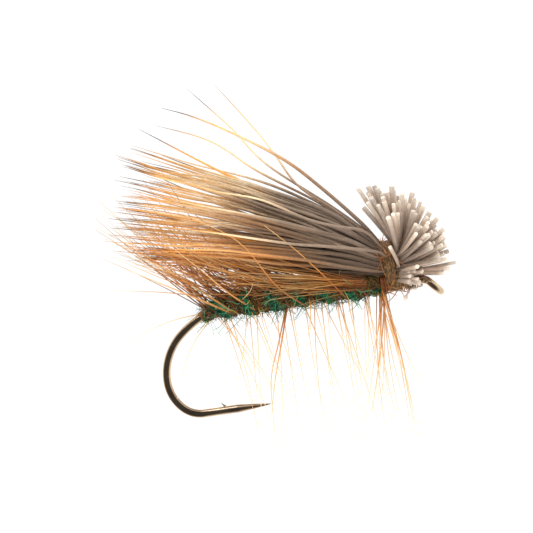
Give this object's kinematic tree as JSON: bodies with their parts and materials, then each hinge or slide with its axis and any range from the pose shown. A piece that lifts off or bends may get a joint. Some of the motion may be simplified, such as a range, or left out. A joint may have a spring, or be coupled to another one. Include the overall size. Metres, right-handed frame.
{
  "type": "dry fly",
  "caption": "Hair-wing dry fly: down-eye hook with a green dubbed body, a palmered ginger hackle, a swept elk-hair wing and a flared hair head.",
  "frame": {"origin": "centre of the hook's eye ring", "axes": "+X along the shank from the bend to the eye, +Z from the shank towards the wing, +Y across the hook's plane towards the fly's left flank"},
  "size_m": [0.0172, 0.0166, 0.0185],
  "materials": {
    "wire": "bronzed steel wire, glossy",
    "thread": "waxed brown tying thread",
    "dubbing": "fuzzy green dubbing",
    "hackle": "glossy ginger cock hackle",
    "hair": "grey-brown elk hair with ginger tips, satin"
  },
  "bodies": {
    "root": {"hook": "wire", "thread_base": "thread", "dubbed_body": "dubbing", "hackle_feather": "hackle", "hackle_quill_end": "hackle", "trimmed_fibre_end": "hair", "wing_thread_wraps": "thread", "head_thread_wraps": "thread", "wing_hair_01": "hair", "wing_hair_02": "hair", "wing_hair_03": "hair", "wing_hair_04": "hair", "wing_hair_05": "hair", "wing_hair_06": "hair", "wing_hair_07": "hair", "wing_hair_08": "hair", "wing_hair_09": "hair", "wing_hair_10": "hair", "wing_hair_11": "hair", "wing_hair_12": "hair", "wing_hair_13": "hair", "wing_hair_14": "hair", "wing_hair_15": "hair", "wing_hair_16": "hair", "wing_hair_17": "hair", "wing_hair_18": "hair", "wing_hair_19": "hair", "wing_hair_20": "hair", "wing_hair_21": "hair", "wing_hair_22": "hair", "wing_hair_23": "hair", "wing_hair_24": "hair", "wing_hair_25": "hair", "wing_hair_26": "hair", "wing_hair_27": "hair", "wing_hair_28": "hair", "wing_hair_29": "hair", "wing_hair_30": "hair", "wing_hair_31": "hair", "wing_hair_32": "hair", "wing_hair_33": "hair", "wing_hair_34": "hair", "wing_hair_35": "hair", "wing_hair_36": "hair", "wing_hair_37": "hair", "wing_hair_38": "hair", "wing_hair_39": "hair", "wing_hair_40": "hair", "wing_hair_41": "hair", "wing_hair_42": "hair", "wing_hair_43": "hair", "wing_hair_44": "hair", "wing_hair_45": "hair", "wing_hair_46": "hair"}
  },
  "joints": []
}
